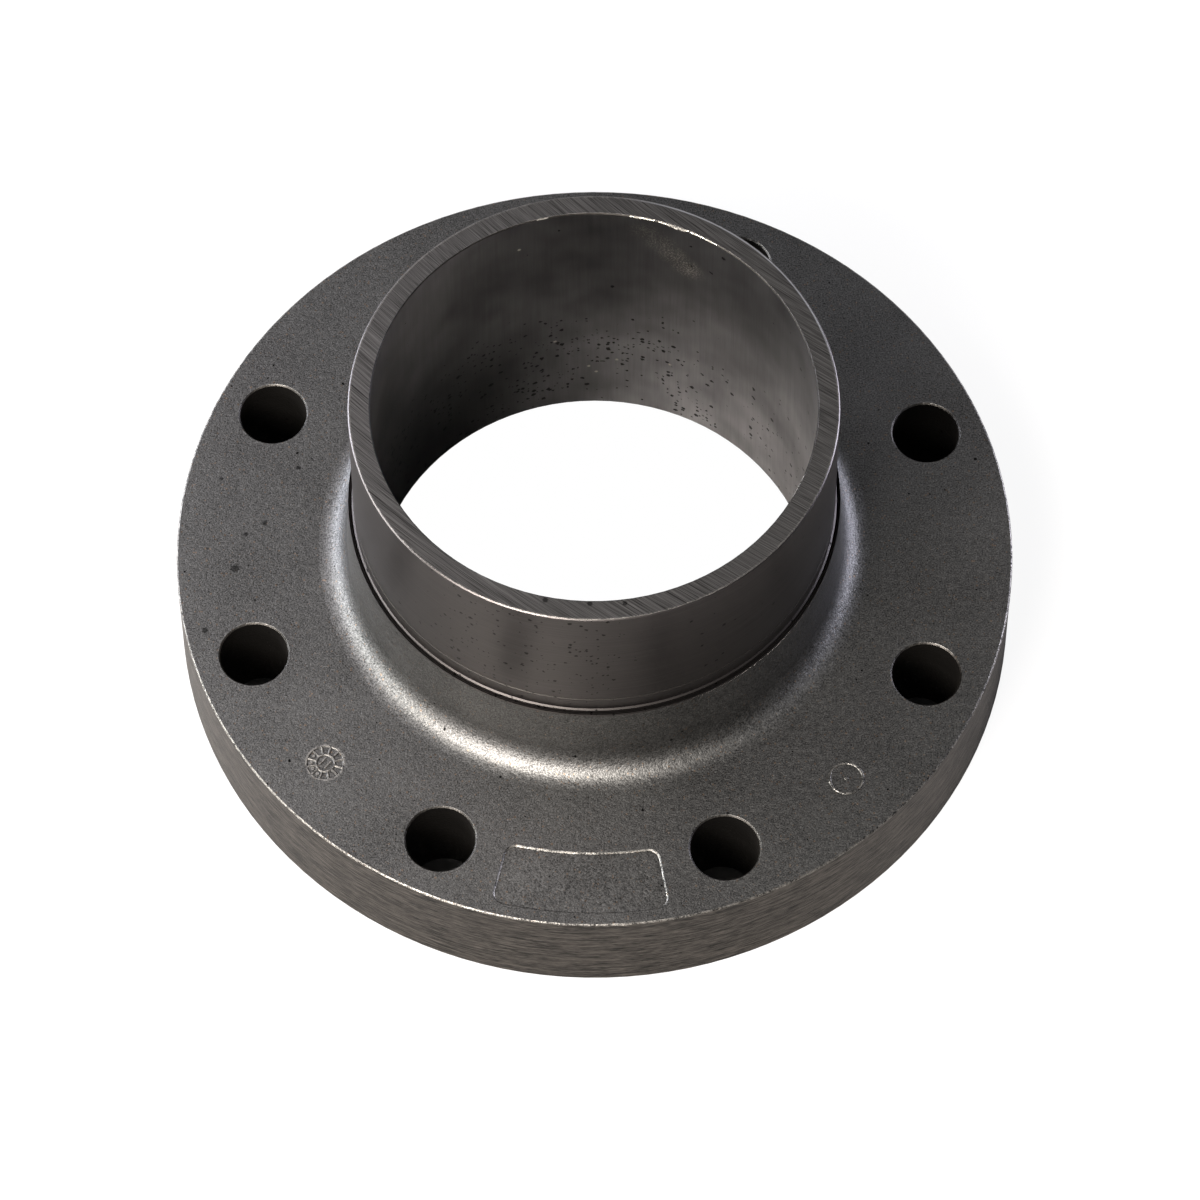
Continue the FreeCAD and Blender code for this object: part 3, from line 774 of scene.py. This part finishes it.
def add_lamp(name, turn, rise, distance, width, height, power, colour):
    """A soft panel that faces the flange, at an angle round it and above it."""
    data = bpy.data.lights.new(name, "AREA")
    data.shape = "RECTANGLE"
    data.size, data.size_y = width, height
    data.energy = power
    data.color = colour
    lamp = bpy.data.objects.new(name, data)
    a, e = math.radians(turn), math.radians(rise)
    away = Vector((math.cos(a) * math.cos(e), math.sin(a) * math.cos(e), math.sin(e)))
    lamp.location = away * distance + LAMPS_AIM
    lamp.rotation_mode = "QUATERNION"
    lamp.rotation_quaternion = away.to_track_quat("Z", "Y")
    bpy.context.scene.collection.objects.link(lamp)


for name, lamp in LAMPS.items():
    add_lamp(name, *lamp)
print("lamps:", ", ".join(LAMPS))

# %% [markdown]
# The studio is white to the camera all over. In the metal's reflections it is
# dark near the horizon and grey overhead and below, as in a studio whose lamps
# stand against dark walls, and that gives the round walls their dark sides.

# %% World
CEILING = 0.40
DARK_RISE, GREY_RISE = 0.25, 0.60
WORLD_LIGHT = 0.3
world = bpy.data.worlds.new("Studio")
bpy.context.scene.world = world
world.use_nodes = True
tree = world.node_tree
tree.nodes.clear()
_, _, rise = split(tree, tree.nodes.new("ShaderNodeTexCoord").outputs["Generated"])
off_horizon = soft_step(tree, calc(tree, "ABSOLUTE", rise), DARK_RISE, GREY_RISE, 0.0, CEILING)
ray = tree.nodes.new("ShaderNodeLightPath").outputs
mirrored = calc(tree, "MAXIMUM", ray["Is Glossy Ray"], ray["Is Transmission Ray"])
level = lay(tree, "FLOAT", mirrored, WORLD_LIGHT, off_horizon)
level = lay(tree, "FLOAT", ray["Is Camera Ray"], level, 1.0)
sweep = tree.nodes.new("ShaderNodeBackground")
sweep.inputs["Color"].default_value = (1.0, 1.0, 1.0, 1.0)
put(tree, level, sweep.inputs["Strength"])
tree.links.new(sweep.outputs[0], tree.nodes.new("ShaderNodeOutputWorld").inputs["Surface"])
print("the ceiling mirrors at %.2f of white" % CEILING)

# %% [markdown]
# The paper under the flange shines white to the camera wherever nothing covers
# it. Under the plate the camera sees it painted nearly black, a painted shade on
# the light that reaches it, so the bolt holes look down on shadow. What the
# metal mirrors of it is a dark grey sheet.

# %% Floor
PAPER_GLOW = 0.9
OPEN_PAPER = (0.8, 0.8, 0.8, 1.0)
PAINTED_SHADE_PAPER = (0.06, 0.06, 0.06, 1.0)
MIRRORED_PAPER = (0.17, 0.17, 0.17, 1.0)
paper = bpy.data.materials.new("White paper")
paper.use_nodes = True
tree = paper.node_tree
shader = tree.nodes["Principled BSDF"]
shader.inputs["Roughness"].default_value = 0.9
glow = tree.nodes.new("ShaderNodeEmission")
glow.inputs["Color"].default_value = (1.0, 1.0, 1.0, 1.0)
from_axis = tree.nodes.new("ShaderNodeVectorMath")
from_axis.operation = "LENGTH"
tree.links.new(tree.nodes.new("ShaderNodeTexCoord").outputs["Object"], from_axis.inputs[0])
paper_r = from_axis.outputs["Value"]

# Both edges of the painted shadow lie under the plate, out of the camera's sight.
open_outside = soft_step(tree, paper_r, (RIM_FOOT_R - 4) * MM, RIM_FOOT_R * MM)
open_bore = soft_step(tree, paper_r, (BORE_FOOT_R + 4) * MM, (BORE_FOOT_R + 7) * MM, 1.0, 0.0)
ray = tree.nodes.new("ShaderNodeLightPath").outputs
seen_paper = lay(tree, "RGBA", open_outside, PAINTED_SHADE_PAPER, OPEN_PAPER)
put(tree, lay(tree, "RGBA", ray["Is Camera Ray"], MIRRORED_PAPER, seen_paper),
    shader.inputs["Base Color"])
seen_bright = calc(tree, "MAXIMUM", calc(tree, "MULTIPLY", open_outside, PAPER_GLOW), open_bore)
glowing = calc(tree, "MULTIPLY", ray["Is Camera Ray"], seen_bright)
choose = tree.nodes.new("ShaderNodeMixShader")
put(tree, glowing, choose.inputs[0])
tree.links.new(shader.outputs[0], choose.inputs[1])
tree.links.new(glow.outputs[0], choose.inputs[2])
tree.links.new(choose.outputs[0], tree.nodes["Material Output"].inputs["Surface"])
FLOOR_HALF = 6.0
floor_mesh = bpy.data.meshes.new("floor")
floor_mesh.from_pydata(
    [(-FLOOR_HALF, -FLOOR_HALF, low.z), (FLOOR_HALF, -FLOOR_HALF, low.z),
     (FLOOR_HALF, FLOOR_HALF, low.z), (-FLOOR_HALF, FLOOR_HALF, low.z)],
    [], [(0, 1, 2, 3)])
floor_mesh.materials.append(paper)
floor = bpy.data.objects.new("floor", floor_mesh)
bpy.context.scene.collection.objects.link(floor)
floor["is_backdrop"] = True
bpy.context.scene.view_settings.view_transform = "Standard"
print("floor %.0f m across" % (2 * FLOOR_HALF))

# %% [markdown]
# Both boxes, the CAD model's and the dressed part's, are printed side by side.
# The dressed part may not grow past the CAD model.

# %% Print the boxes and finish
dressed_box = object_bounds()
for label, box in (("CAD box", cad_box), ("dressed", dressed_box)):
    print(label, [round(v, 4) for v in box[1]])
